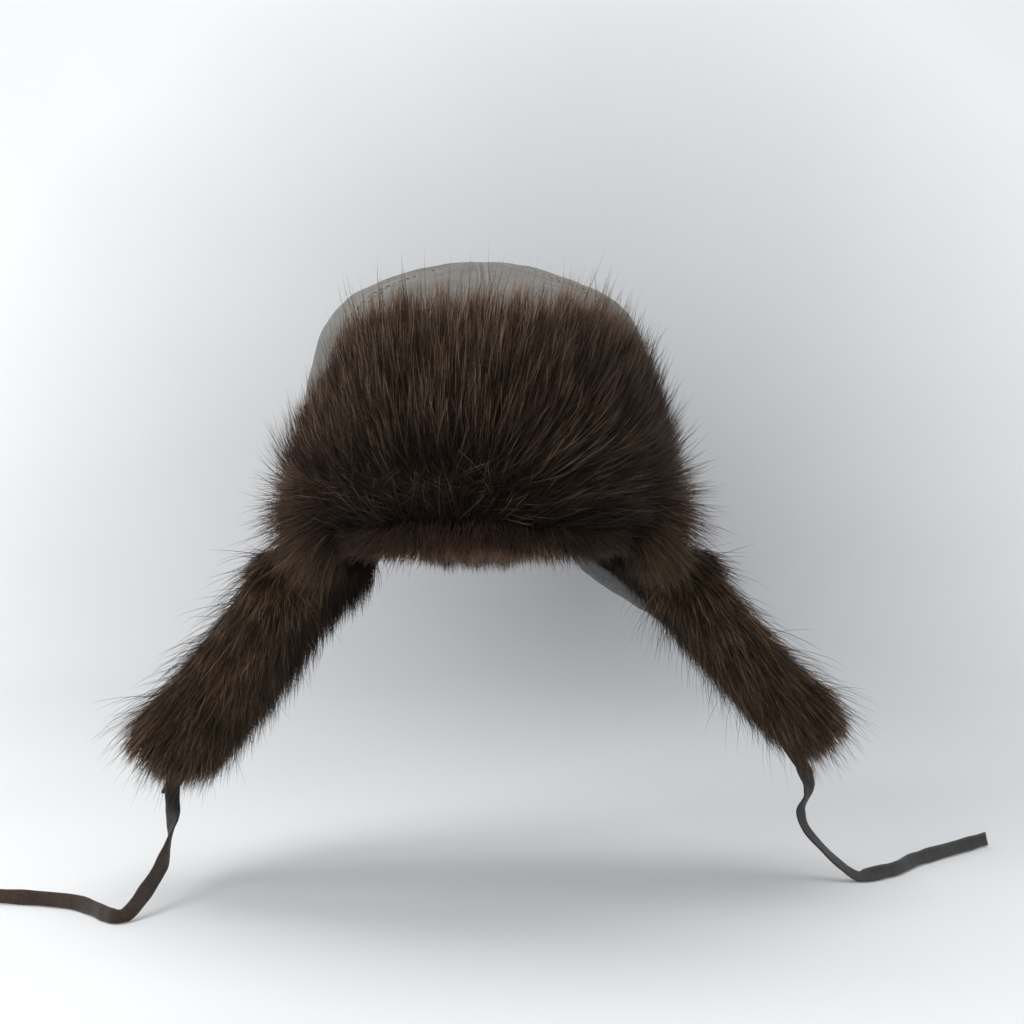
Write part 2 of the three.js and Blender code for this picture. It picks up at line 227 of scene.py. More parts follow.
def make_object(name, points, face_groups, materials, attributes=None, face_materials=None):
    """A smooth-shaded mesh object from points in millimetres and arrays of faces."""
    mesh = bpy.data.meshes.new(name)
    corners = np.concatenate([f.ravel() for f in face_groups]).astype(np.int32)
    sizes = np.concatenate([np.full(len(f), f.shape[1]) for f in face_groups])
    mesh.vertices.add(len(points))
    mesh.vertices.foreach_set("co", (np.asarray(points) * MM).astype(np.float32).ravel())
    mesh.loops.add(len(corners))
    mesh.loops.foreach_set("vertex_index", corners)
    mesh.polygons.add(len(sizes))
    mesh.polygons.foreach_set("loop_start", np.concatenate([[0], np.cumsum(sizes)[:-1]]).astype(np.int32))
    mesh.polygons.foreach_set("use_smooth", np.ones(len(sizes), bool))
    if face_materials is not None:
        mesh.polygons.foreach_set("material_index", np.asarray(face_materials, np.int32))
    for key, values in (attributes or {}).items():
        layer = mesh.attributes.new(key, "FLOAT", "POINT")
        layer.data.foreach_set("value", np.asarray(values, np.float32).ravel())
    mesh.update(calc_edges=True)
    for material in materials:
        mesh.materials.append(material)
    made = bpy.data.objects.new(name, mesh)
    bpy.context.scene.collection.objects.link(made)
    return made


def grid_faces(rows, columns, start=0, joined=False, flip=False):
    """Quads over a grid of points, stored row by row."""
    wide = columns if joined else columns + 1
    j, i = np.meshgrid(np.arange(rows), np.arange(columns), indexing="ij")
    a, b = j * wide + i, j * wide + (i + 1) % wide
    quads = np.stack([a, b, b + wide, a + wide], -1).reshape(-1, 4) + start
    return quads[:, ::-1] if flip else quads


def slab(name, outer, inner, material, joined=False, wear=None):
    """A closed piece between two grids of points with the same rows and columns."""
    rows, wide = outer.shape[0] - 1, outer.shape[1]
    columns = wide if joined else wide - 1
    count = outer.shape[0] * wide
    inner = np.broadcast_to(inner, outer.shape)
    points = np.concatenate([outer.reshape(-1, 3), inner.reshape(-1, 3)])
    faces = [grid_faces(rows, columns, 0, joined), grid_faces(rows, columns, count, joined, True)]
    i = np.arange(columns)
    k = (i + 1) % wide
    faces.append(np.stack([i + count, k + count, k, i], -1))
    top = rows * wide
    faces.append(np.stack([i + top, k + top, k + top + count, i + top + count], -1))
    if not joined:
        j = np.arange(rows) * wide
        faces.append(np.stack([j, j + wide, j + wide + count, j + count], -1))
        e = j + columns
        faces.append(np.stack([e + count, e + wide + count, e + wide, e], -1))
    worn = None if wear is None else {"wear": np.tile(np.broadcast_to(wear, outer.shape[:2]).ravel(), 2)}
    return outward(make_object(name, points, faces, [material], worn))


def outward(made):
    """Turns a closed piece's faces to point out."""
    whole = bmesh.new()
    whole.from_mesh(made.data)
    bmesh.ops.recalc_face_normals(whole, faces=whole.faces)
    whole.to_mesh(made.data)
    whole.free()
    return made


def fit(made, body, slot, *nodes):
    """Lets a piece ride on a body, in place of the CAD nodes it stands for. The slot argument is not used."""
    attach(made, body)
    if nodes:
        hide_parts(*nodes)


def edges(count, power):
    """Places from -1 to 1, closer together towards both ends."""
    t = np.linspace(-1, 1, count + 1)
    return lerp(t, np.sin(t * math.pi / 2), power)


# ---- materials

def linear(code):
    """Linear RGBA of a #rrggbb colour."""
    values = [int(code[i:i + 2], 16) / 255 for i in (1, 3, 5)]
    return [v / 12.92 if v <= 0.04045 else ((v + 0.055) / 1.055) ** 2.4 for v in values] + [1]


class Nodes:
    """A new material's node tree, with short ways to add what these materials share."""

    def __init__(self, name, roughness, specular=0.5):
        self.material = bpy.data.materials.new(name)
        self.material.use_nodes = True
        self.tree = self.material.node_tree
        self.shader = self.tree.nodes["Principled BSDF"]
        self.shader.inputs["Roughness"].default_value = roughness
        self.shader.inputs["Specular IOR Level"].default_value = specular

    def add(self, kind, **settings):
        node = self.tree.nodes.new(kind)
        for key, value in settings.items():
            if key in node.inputs:
                node.inputs[key].default_value = value
            else:
                setattr(node, key, value)
        return node

    def link(self, source, target):
        self.tree.links.new(source, target)

    def feed(self, socket, value):
        if isinstance(value, (float, list)):
            socket.default_value = value
        else:
            self.link(value, socket)

    def place(self):
        return self.add("ShaderNodeTexCoord").outputs["Object"]

    def attribute(self, name):
        return self.add("ShaderNodeAttribute", attribute_name=name).outputs["Fac"]

    def noise(self, scale, detail=4.0):
        node = self.add("ShaderNodeTexNoise", Scale=scale, Detail=detail)
        self.link(self.place(), node.inputs["Vector"])
        return node.outputs["Fac"]

    def ramp(self, value, stops):
        node = self.add("ShaderNodeValToRGB")
        while len(node.color_ramp.elements) < len(stops):
            node.color_ramp.elements.new(0.5)
        for element, (position, colour) in zip(node.color_ramp.elements, stops):
            element.position = position
            element.color = linear(colour)
        self.link(value, node.inputs["Fac"])
        return node.outputs["Color"]

    def mix(self, share, first, second, kind="MIX"):
        node = self.add("ShaderNodeMix", data_type="RGBA", blend_type=kind)
        self.feed(node.inputs[0], share)
        self.feed(node.inputs[6], first)
        self.feed(node.inputs[7], second)
        return node.outputs[2]

    def maths(self, operation, first, second=0.0):
        node = self.add("ShaderNodeMath", operation=operation)
        self.feed(node.inputs[0], first)
        self.feed(node.inputs[1], second)
        return node.outputs[0]

    def bump(self, height, strength, distance):
        node = self.add("ShaderNodeBump", Strength=strength, Distance=distance)
        self.link(height, node.inputs["Height"])
        self.link(node.outputs["Normal"], self.shader.inputs["Normal"])

    def colour(self, socket):
        self.link(socket, self.shader.inputs["Base Color"])

    def roughness(self, value, low, high):
        node = self.add("ShaderNodeMapRange")
        node.inputs["To Min"].default_value = low
        node.inputs["To Max"].default_value = high
        self.link(value, node.inputs["Value"])
        self.link(node.outputs["Result"], self.shader.inputs["Roughness"])


def leather_material(name, dark, middle, light, grain=900.0, gloss=(0.5, 0.68)):
    """Fine-grained leather: cloudy tone, pores, and a paler rub where the wear attribute is high."""
    n = Nodes(name, 0.6, 0.35)
    clouds = n.noise(22.0, 5.0)
    tone = n.ramp(clouds, [(0.3, dark), (0.52, middle), (0.75, light)])
    pores = n.add("ShaderNodeTexVoronoi", Scale=grain)
    n.link(n.place(), pores.inputs["Vector"])
    fine = n.noise(grain * 0.6, 3.0)
    pits = n.maths("MULTIPLY", pores.outputs["Distance"], fine)
    shade = n.ramp(pits, [(0.0, "#b4b4b4"), (0.35, "#ffffff")])
    toned = n.mix(1.0, tone, shade, "MULTIPLY")
    worn = n.mix(n.maths("MULTIPLY", n.attribute("wear"), 0.55), toned, linear(light))
    n.colour(worn)
    n.roughness(clouds, *gloss)
    n.bump(pits, 0.35, 0.0006)
    return n.material


def fur_material(name, stops, roughness=0.48):
    """Hair that is dark at the root and paler to the tip, each strand and tuft in its own tone. The shade
    attribute also carries painted shade and painted highlight, set on the front and ear flaps' hair.
    """
    n = Nodes(name, roughness, 0.16)
    tone = n.ramp(n.attribute("along"), stops)
    strand = n.ramp(n.attribute("shade"),
                    [(0.0, "#2c2a29"), (0.45, "#7c7976"), (0.8, "#c4c0bc"), (1.0, "#ffffff")])
    tinted = n.mix(1.0, tone, strand, "MULTIPLY")
    warm = n.mix(n.attribute("warmth"), tinted, linear("#4a3222"))
    patch = n.ramp(n.noise(45.0, 2.0), [(0.35, "#d0ccc8"), (0.65, "#ffffff")])
    n.colour(n.mix(1.0, warm, patch, "MULTIPLY"))
    n.roughness(n.attribute("shade"), roughness - 0.08, roughness + 0.12)
    return n.material


def hide_material(name, dark, light):
    """The skin under the fur, with the shortest down on it."""
    n = Nodes(name, 0.95, 0.1)
    n.colour(n.ramp(n.noise(700.0, 6.0), [(0.35, dark), (0.7, light)]))
    n.bump(n.noise(900.0, 4.0), 0.8, 0.001)
    return n.material


def felt_material(name, dark, light):
    n = Nodes(name, 0.95, 0.1)
    fibres = n.noise(600.0, 8.0)
    n.colour(n.ramp(fibres, [(0.3, dark), (0.7, light)]))
    n.bump(fibres, 0.6, 0.001)
    return n.material


def suede_material(name, dark, light):
    n = Nodes(name, 0.9, 0.15)
    nap = n.noise(1400.0, 6.0)
    blotches = n.noise(60.0, 3.0)
    tone = n.ramp(blotches, [(0.3, dark), (0.7, light)])
    n.colour(n.mix(1.0, tone, n.ramp(nap, [(0.3, "#9a9a9a"), (0.7, "#ffffff")]), "MULTIPLY"))
    n.bump(nap, 0.7, 0.0007)
    n.shader.inputs["Sheen Weight"].default_value = 0.25
    return n.material


def satin_material(name, dark, light):
    """Tightly woven lining: crossing threads, with a soft sheen."""
    n = Nodes(name, 0.4, 0.5)
    warp = n.add("ShaderNodeTexWave", Scale=420.0, bands_direction="X")
    weft = n.add("ShaderNodeTexWave", Scale=420.0, bands_direction="Z")
    n.link(n.place(), warp.inputs["Vector"])
    n.link(n.place(), weft.inputs["Vector"])
    cloth = n.maths("MULTIPLY", warp.outputs["Fac"], weft.outputs["Fac"])
    n.colour(n.mix(n.noise(40.0, 2.0), n.ramp(cloth, [(0.0, dark), (1.0, light)]), linear(light)))
    n.roughness(cloth, 0.34, 0.5)
    n.bump(cloth, 0.3, 0.0002)
    n.shader.inputs["Sheen Weight"].default_value = 0.3
    return n.material


def thread_material(name, dark, light):
    n = Nodes(name, 0.7, 0.3)
    twist = n.noise(2500.0, 2.0)
    n.colour(n.ramp(twist, [(0.3, dark), (0.7, light)]))
    return n.material


GREY_LEATHER = leather_material("grey_leather", "#5a5854", "#6b6964", "#7d7b75")
FLAP_LEATHER = leather_material("flap_leather", "#545556", "#646566", "#767778")
BAND_LEATHER = leather_material("band_leather", "#2b1f18", "#3a2a20", "#4d392b", 700.0)
TIE_GRAIN = leather_material("tie_grain", "#262422", "#322f2d", "#474441", 1200.0, (0.4, 0.6))
TIE_SUEDE = suede_material("tie_suede", "#382c24", "#504135")
LINING = satin_material("lining_satin", "#1b1817", "#332e2b")
FELT = felt_material("felt", "#8f887b", "#c4bdae")
THREAD = thread_material("thread", "#3a3836", "#55524e")
HIDE = hide_material("hide_down", "#17100c", "#2c2019")
FUR = fur_material("fur_strands",
                   [(0.0, "#0b0806"), (0.3, "#2b211b"), (0.7, "#6e5849"), (1.0, "#c4a78b")], 0.42)
UNDERFUR = fur_material("underfur_strands", [(0.0, "#080504"), (0.5, "#1a110b"), (1.0, "#35271c")], 0.7)
EAR_FUR = fur_material("ear_fur_strands",
                       [(0.0, "#120d0a"), (0.3, "#413227"), (0.7, "#8c7159"), (1.0, "#cfb08f")], 0.42)


# ---- camera, light and floor

CAMERA_AIM = Vector((0.0165, 0, 0.0046))
CAMERA_AZIMUTH, CAMERA_ELEVATION = math.radians(-2.5), math.radians(5.5)
CAMERA_DISTANCE, CAMERA_LENS = 1.29, 85


def make_camera():
    camera = bpy.data.objects.new("camera", bpy.data.cameras.new("camera"))
    bpy.context.scene.collection.objects.link(camera)
    camera.data.lens = CAMERA_LENS
    camera.data.sensor_width = 36
    level = math.cos(CAMERA_ELEVATION)
    back = Vector((math.sin(CAMERA_AZIMUTH) * level, -math.cos(CAMERA_AZIMUTH) * level,
                   math.sin(CAMERA_ELEVATION)))
    camera.location = CAMERA_AIM + back * CAMERA_DISTANCE
    camera.rotation_euler = (-back).to_track_quat("-Z", "Y").to_euler()
    camera.data.clip_start, camera.data.clip_end = 0.05, 30
    bpy.context.scene.camera = camera
    bpy.context.scene.view_settings.view_transform = "Standard"


def area_light(name, place, aim, size, power, tint=(1, 1, 1)):
    lamp = bpy.data.lights.new(name, "AREA")
    lamp.energy, lamp.size, lamp.color = power, size, tint
    made = bpy.data.objects.new(name, lamp)
    made.location = place
    made.rotation_euler = (Vector(aim) - Vector(place)).to_track_quat("-Z", "Y").to_euler()
    bpy.context.scene.collection.objects.link(made)


def make_lights():
    area_light("key", (-1.3, -1.1, 1.3), (0, 0, 0), 1.1, 21)
    area_light("front", (0.15, -2.3, 0.85), (0, 0, 0), 0.9, 4)
    area_light("overhead", (0.1, 0.1, 1.9), (0, 0, 0), 1.8, 16)
    area_light("right", (2.0, 0.2, 0.9), (0.6, 0.5, -0.2), 1.2, 6, (0.95, 0.97, 1))
    area_light("backdrop", (-0.9, 0.3, 1.4), (-0.6, 1.1, 0.3), 0.9, 5)
    world = bpy.data.worlds.new("studio")
    world.use_nodes = True
    world.node_tree.nodes["Background"].inputs["Color"].default_value = (0.9, 0.92, 0.95, 1)
    world.node_tree.nodes["Background"].inputs["Strength"].default_value = 0.52
    bpy.context.scene.world = world


def make_stage():
    """A pale floor that curves up into a backdrop well behind the hat, darkened by a painted shadow under and
    behind the hat.
    """
    n = Nodes("paper_with_painted_shadow", 0.9, 0.1)
    # Painted shadow: a spherical gradient, centred on the floor and backdrop under and behind the hat,
    # darkens the paper there.
    shade = n.add("ShaderNodeTexGradient", gradient_type="SPHERICAL")
    spread = n.add("ShaderNodeMapping")
    spread.inputs["Location"].default_value = (-0.195, -0.765, 0.195)
    spread.inputs["Scale"].default_value = (1.5, 0.85, 1.5)
    n.link(n.place(), spread.inputs["Vector"])
    n.link(spread.outputs["Vector"], shade.inputs["Vector"])
    pale = n.ramp(n.noise(3.0, 2.0), [(0.3, "#e6e7e8"), (0.7, "#ebecec")])
    painted_hat_shadow = n.ramp(shade.outputs["Fac"], [(0.0, "#ffffff"), (1.0, "#909193")])
    n.colour(n.mix(1.0, pale, painted_hat_shadow, "MULTIPLY"))
    wall, radius, reach = 1.25, 0.6, 3.2
    bend = np.linspace(0, math.pi / 2, 13)
    curve = [(wall - radius + radius * math.sin(a), radius - radius * math.cos(a)) for a in bend]
    line = [(-reach, 0), *curve, (wall, reach)]
    across = np.linspace(-reach, reach, 9)
    points = np.array([[(x, y, FLOOR_Z + z) for x in across] for y, z in line]) / MM
    floor = make_object("studio_floor", points.reshape(-1, 3), [grid_faces(len(line) - 1, 8)], [n.material])


# ---- ties

def tie_path(side):
    line = catmull_rom(TIE_ROUTES[side], TIE_SPANS)
    along = distances(line)
    steps = np.arange(0, along[-1], TIE_STEP)
    place = lambda values, at: np.stack([np.interp(steps, at, values[:, k]) for k in range(3)], -1)
    route_at = along[np.arange(len(TIE_ROUTES[side])) * TIE_SPANS]
    widths = place(unit(np.array(TIE_WIDTHS[side], float)), route_at)
    return place(line, along), widths


def make_tie(side):
    """A flat strip: smooth grey grain on one face, brown suede on the other, cut square at its end."""
    path, widths = tie_path(side)
    tangent = unit(np.gradient(path, axis=0))
    across = unit(widths - tangent * np.sum(widths * tangent, -1, keepdims=True))
    facing = np.cross(tangent, across)
    reach = TIE_WIDTH / 2 * np.abs(across[:, 2]) + TIE_THICKNESS / 2 * np.abs(facing[:, 2])
    path[:, 2] = np.maximum(path[:, 2], FLOOR_Z / MM + reach + FLOOR_GAP)
    along = distances(path)
    half_width = TIE_WIDTH / 2 + 0.25 * waves(31, 22, along, 0)
    half_thick = TIE_THICKNESS / 2 + 0.08 * waves(32, 9, along, 0)
    curl = 0.35 + 0.25 * waves(33, 30, along, 0)
    section = [(-1, -0.35), (-0.9, -0.8), (-0.5, -1), (0, -1), (0.5, -1), (0.9, -0.8), (1, -0.35),
               (1, 0.35), (0.9, 0.8), (0.5, 1), (0, 1), (-0.5, 1), (-0.9, 0.8), (-1, 0.35)]
    rings = np.stack([path + across * (u * half_width)[:, None]
                      + facing * (v * half_thick + curl * (u * u - 0.4))[:, None] for u, v in section], 1)
    count, ring = rings.shape[:2]
    points = rings.reshape(-1, 3)
    sides = grid_faces(count - 1, ring, joined=True)
    caps = np.array([np.arange(ring)[::-1], (count - 1) * ring + np.arange(ring)])
    suede = np.tile((np.arange(ring) < 6) | (np.arange(ring) == ring - 1), count - 1).astype(int)
    wear = np.tile([1 if abs(u) > 0.85 else 0 for u, _ in section], count)
    made = make_object(f"tie_strip_{side}", points, [sides, caps], [TIE_GRAIN, TIE_SUEDE],
                       {"wear": wear}, np.concatenate([suede, [0, 0]]))
    outward(made)
    fit(made, f"tie_{side}", "tie_leather", f"tie_{side}")


# ---- crown

def seam_relief(azimuth, s, gap, side_strength):
    """How far the leather sinks at the seams and ripples beside them; gap is the distance to the seam."""
    valley = 1.2 * np.exp(-(gap / 1.5) ** 2)
    stitched = 0.28 * np.exp(-((gap - STITCH_GAP) / 0.7) ** 2)
    ripple = np.sin(2 * math.pi * s / RIPPLE_LENGTH + 2.2 * waves(5, 30, s, azimuth))
    ripple = ripple * (0.7 + 0.5 * waves(6, 18, s, azimuth))
    reach = np.exp(-np.maximum(gap - 2, 0) / 6.5) * smooth(0.5, 3, gap)
    return valley + stitched + side_strength * ripple * reach


def make_gore(index, place):
    columns, rows = 44, 104
    middle = (index + 0.5) * GORE_ANGLE
    across = edges(columns, 0.75)[None, :]
    azimuth = middle + across * GORE_ANGLE / 2
    start = rim_height(azimuth)
    climb = np.linspace(0, 1, rows + 1)[:, None]
    s = lerp(start, PROFILE_LENGTH - 0.4, climb)
    radius = np.interp(s, LINE_S, LINE[:, 0]) * OVAL_RADIUS
    gap = (1 - np.abs(across)) * np.radians(GORE_ANGLE / 2) * radius
    shoulder = smooth(60, 110, s) * (1 - smooth(150, 185, s))
    seam = np.round(azimuth / GORE_ANGLE) % 6
    on_side = np.isin(seam, (1, 5))
    strength = np.where(on_side, lerp(0.16, 0.5, shoulder), lerp(0.12, 0.26, shoulder))
    fade = smooth(3, 16, radius)
    sink = seam_relief(azimuth, s, gap, strength) * fade
    slack = 0.9 * waves(7, 70, azimuth * 1.6, s) + 0.35 * waves(8, 24, azimuth * 1.6, s)
    belly = 1.1 * (1 - across ** 2) * smooth(20, 110, s) * fade
    lift = belly + slack * smooth(0, 14, gap) * fade - sink
    point, normal, _, _ = crown_frame(azimuth, s)
    outer = point + normal * lift[..., None]
    inner = point - normal * (LEATHER + 0.2)
    raised = 0.5 + 0.5 * waves(8, 24, azimuth * 1.6, s)
    wear = np.clip(np.exp(-((gap - 2.2) / 1.2) ** 2) * 0.7 + 0.3 * smooth(0.2, 1, raised), 0, 1)
    made = slab(f"crown_gore_{place}", outer, inner, GREY_LEATHER, wear=wear)
    fit(made, "crown", "crown_leather", f"gore_{place}")


def stitches(name, starts, ways, normals, body, length=2.9, thick=0.55, slot="crown_leather"):
    """A row of separate stitches, each a short thread that dips into the leather at both ends."""
    rings = [(-0.5, -0.5, 0.35), (-0.32, 0.25, 0.9), (0, 0.45, 1), (0.32, 0.25, 0.9), (0.5, -0.5, 0.35)]
    across = np.cross(normals, ways)
    angles = np.arange(6) * math.pi / 3
    layers = []
    for along, height, size in rings:
        centre = starts + ways * (along * length) + normals * (height * thick)
        for angle in angles:
            side = across * math.cos(angle) + normals * math.sin(angle)
            layers.append(centre + side * (size * thick / 2))
    points = np.stack(layers, 1)
    count = len(starts)
    sides = grid_faces(len(rings) - 1, 6, joined=True)
    caps = np.array([np.arange(6)[::-1], (len(rings) - 1) * 6 + np.arange(6)])
    offset = (np.arange(count) * 30)[:, None, None]
    faces = [(sides[None] + offset).reshape(-1, 4), (caps[None] + offset).reshape(-1, 6)]
    made = outward(make_object(name, points.reshape(-1, 3), faces, [THREAD]))
    fit(made, body, slot)
    return made


def make_topstitching():
    starts, ways, normals = [], [], []
    for seam in range(6):
        for side in (-1, 1):
            s = np.arange(float(rim_height(seam * GORE_ANGLE)) + 4, PROFILE_LENGTH - 12, STITCH_STEP)
            radius = np.interp(s, LINE_S, LINE[:, 0]) * OVAL_RADIUS
            azimuth = seam * GORE_ANGLE + side * np.degrees(STITCH_GAP / np.maximum(radius, 6))
            point, normal, _, up = crown_frame(azimuth, s)
            starts.append(point - normal * 0.15)
            ways.append(up)
            normals.append(normal)
    stitches("crown_topstitching", *(np.concatenate(v) for v in (starts, ways, normals)), "crown")


def make_rim_binding():
    """The crown's turned-in lower edge, from the outer leather round to the sweatband."""
    azimuth = np.linspace(0, 360, 240, endpoint=False)[:, None]
    section = np.array([(-0.9, 7), (-1.1, 3), (-1.0, 0), (0.4, -1.6), (3, -2.2), (7, -2.2), (10.2, -1.5),
                        (11.6, 0.5), (11.4, 3.5), (9.4, 4), (5, 2.5), (1.5, 3.5), (0.6, 6.6)])
    depth, rise = section[:, 0][None, :], section[:, 1][None, :]
    base = rim_height(azimuth)
    _, normal, _, _ = crown_frame(azimuth, base + 5)
    point, _, _, _ = crown_frame(azimuth, base)
    wrinkle = 0.25 * waves(11, 16, azimuth * DEGREE, depth * 3)
    up = np.array([0, 0, 1.0])
    ring = point - normal * (depth + wrinkle)[..., None] + up * rise[..., None]
    count, sides = ring.shape[:2]
    j, i = np.meshgrid(np.arange(count), np.arange(sides), indexing="ij")
    at = lambda a, b: (a % count) * sides + b % sides
    quads = np.stack([at(j, i), at(j + 1, i), at(j + 1, i + 1), at(j, i + 1)], -1).reshape(-1, 4)
    wear = np.tile(np.exp(-((section[:, 1] + 1.5) / 2) ** 2) * 0.8, count)
    made = outward(make_object("rim_binding", ring.reshape(-1, 3), [quads], [GREY_LEATHER], {"wear": wear}))
    fit(made, "crown", "crown_leather")


def make_lining():
    """A quilted satin dome: the band and the flat oval tip of the lining in one surface."""
    columns, rows = 240, 90
    azimuth = np.linspace(0, 360, columns, endpoint=False)[None, :]
    climb = np.linspace(0, 1, rows + 1)[:, None]
    start = rim_height(azimuth)
    band = lerp(start + 2, 128.0, np.minimum(climb / 0.75, 1))
    point, normal, _, _ = crown_frame(azimuth, band)
    wall = point - normal * (8.4 + 2.6 * smooth(20, 36, band - start))[..., None]
    closing = smooth(0.72, 1, climb)[..., None]
    centre = np.array([0, 0, 113.8])
    flat = wall * (1 - closing) + centre * closing
    quilt_u, quilt_v = azimuth * TUFT_DEGREE / QUILT, (climb * 150) / QUILT
    on_tip = smooth(0.74, 0.82, climb)
    quilt_u = lerp(quilt_u, flat[..., 0] / QUILT, on_tip)
    quilt_v = lerp(quilt_v, flat[..., 1] / QUILT, on_tip)
    puff = np.abs(np.sin(math.pi * (quilt_u + quilt_v))) * np.abs(np.sin(math.pi * (quilt_u - quilt_v)))
    flattened = lerp(1, 0.15, smooth(0.66, 0.74, climb) * smooth(0.9, 0.8, climb))
    puff = (2.2 * puff ** 0.5 - 0.6) * flattened + 0.3 * waves(12, 14, azimuth * DEGREE, climb * 150)
    inward = unit(np.array([0, 0, 45.0]) - flat)
    outer = flat + inward * puff[..., None]
    inner = flat - inward * 1.2
    inner[..., 2] = np.minimum(inner[..., 2], 115.6)
    outer[..., 2] = np.minimum(outer[..., 2], 114.2)
    made = slab("lining_dome", outer, inner, LINING, joined=True)
    fit(made, "crown", "lining", "lining_band", "lining_tip")


def make_sweatband():
    azimuth = np.linspace(0, 360, 200, endpoint=False)[None, :]
    climb = np.linspace(0, 1, 17)[:, None]
    s = rim_height(azimuth) + 0.5 + climb * 30
    point, normal, _, _ = crown_frame(azimuth, s)
    wave = 0.35 * waves(13, 40, azimuth * DEGREE, climb * 30)
    inner = point - normal * (10.9 + wave)[..., None]
    outer = point - normal * (9.7 + wave)[..., None]
    wear = 0.5 * np.exp(-((climb - 1) / 0.08) ** 2)
    made = slab("leather_sweatband", outer, inner, BAND_LEATHER, joined=True, wear=wear)
    fit(made, "crown", "sweatband_leather", "sweatband")
    places = np.linspace(0, 360, 150, endpoint=False)
    point, normal, around, _ = crown_frame(places, rim_height(places) + 27.5)
    stitches("sweatband_stitching", point - normal * 11.1, around, -normal, "crown", 2.4, 0.5,
             "sweatband_leather")


# ---- fur

PIECE_TRIANGLES = 195000


def clumped(u, v, size, seed):
    """The centre of each strand's tuft: the nearest of a jittered grid of points, in the same units, and
    a number from 0 to 1 of the tuft's own."""
    best = np.full(u.shape, 1e9)
    centre = np.zeros(u.shape + (3,))
    i, j = np.floor(u / size).astype(int), np.floor(v / size).astype(int)
    for di in (-1, 0, 1):
        for dj in (-1, 0, 1):
            a, b = i + di, j + dj
            hashed = (a * 73856093 ^ b * 19349663 ^ seed * 83492791) & 0xFFFFFF
            jitter_u = (hashed % 4096) / 4096
            jitter_v = (hashed // 4096 % 4096) / 4096
            cu, cv = (a + jitter_u) * size, (b + jitter_v) * size
            distance = (u - cu) ** 2 + (v - cv) ** 2
            nearer = distance < best
            best = np.where(nearer, distance, best)
            centre[..., 0] = np.where(nearer, cu, centre[..., 0])
            centre[..., 1] = np.where(nearer, cv, centre[..., 1])
            centre[..., 2] = np.where(nearer, (hashed * 7919 % 1000) / 1000, centre[..., 2])
    return centre[..., 0], centre[..., 1], centre[..., 2]


def strands(name, body, node, material, roots, normals, flow, length, lift, draw, width, segments, tuft,
            tuft_pull, jitter, wave, warmth, shade=None):
    """Closed, tapered hairs. Each leaves its root between the normal and the flow, and bends over to the
    flow; tufts draw together to their tips. Makes the pieces, each of a limited size."""
    count = len(roots)
    flow = unit(flow + draw.normal(0, jitter, (count, 3)))
    length = (length * draw.uniform(0.82, 1.12, count))[:, None]
    lift = np.broadcast_to(np.asarray(lift, float), (count,))[:, None] * draw.uniform(0.75, 1.25, (count, 1))
    control = [
        roots,
        roots + normals * (lift * length * 0.5) + flow * (length * 0.14),
        roots + normals * (lift * length * 0.85) + flow * (length * 0.52),
        roots + normals * (lift * length * 0.85) + flow * (length * 0.95),
    ]
    pull = tuft - roots
    sideways = unit(np.cross(flow, normals) + 1e-6)
    phase = draw.uniform(0, 2 * math.pi, (count, 1))
    sway = draw.normal(0, wave, (count, 1))
    spin = unit(draw.normal(0, 1, (count, 3)))
    thick = width * draw.uniform(0.7, 1.25, count)[:, None]
    rings = []
    times = [(k / segments) for k in range(segments + 1)]
    centres = []
    for t in times:
        a, b, c, d = (1 - t) ** 3, 3 * t * (1 - t) ** 2, 3 * t * t * (1 - t), t ** 3
        centre = control[0] * a + control[1] * b + control[2] * c + control[3] * d
        centre = centre + pull * (tuft_pull * t * t)
        centre = centre + sideways * (sway * t * np.sin(phase + 3.2 * t))
        centres.append(centre)
    for k in range(segments):
        tangent = unit(centres[k + 1] - centres[max(k - 1, 0)])
        first = unit(np.cross(tangent, spin))
        second = np.cross(tangent, first)
        taper = [1.0, 1.0, 0.85, 0.6, 0.4, 0.3][k] if segments > 3 else [1.0, 0.9, 0.55][k]
        for angle in (0, 2 * math.pi / 3, 4 * math.pi / 3):
            side = first * math.cos(angle) + second * math.sin(angle)
            rings.append(centres[k] + side * (thick * taper / 2))
    rings.append(centres[-1])
    points = np.stack(rings, 1)
    per = points.shape[1]
    sides = grid_faces(segments - 1, 3, joined=True)
    last = 3 * (segments - 1)
    ends = np.array([(0, 2, 1)] + [(last + i, last + (i + 1) % 3, per - 1) for i in range(3)])
    along = np.concatenate([np.repeat(times[:-1], 3), [1.0]])
    if shade is None:
        shade = draw.uniform(0, 1, count)
    warmth = np.broadcast_to(np.asarray(warmth, float), (count,))
    most = PIECE_TRIANGLES // (6 * segments - 2)
    for part, start in enumerate(range(0, count, most)):
        some = slice(start, start + most)
        hairs = len(shade[some])
        offset = (np.arange(hairs) * per)[:, None, None]
        faces = [(sides[None] + offset).reshape(-1, 4), (ends[None] + offset).reshape(-1, 3)]
        made = make_object(
            f"{name}_{part + 1}", points[some].reshape(-1, 3), faces, [material],
            {"along": np.tile(along, hairs), "shade": np.repeat(shade[some], per),
             "warmth": np.repeat(warmth[some], per)},
        )
        fit(made, body, "fur", node)


def strand_tone(draw, own, guard):
    """Each hair's own tone, 0 to 1: most are dark and some pale, and the guard hairs differ the most."""
    chance = draw.uniform(0, 1, len(own))
    if guard:
        return np.where(chance < 0.34, 0.8 + 0.2 * draw.uniform(0, 1, len(own)), 0.3 * chance)
    return 0.9 * chance ** 2.2 + 0.32 * own


def hide_depth(azimuth, climb):
    """How far the front flap's hide stands off the crown: it lies down towards its upper side edges."""
    return lerp(FRONT_HIDE, 2.6, smooth(24, 58, np.abs(azimuth)) * smooth(0.12, 0.5, climb))


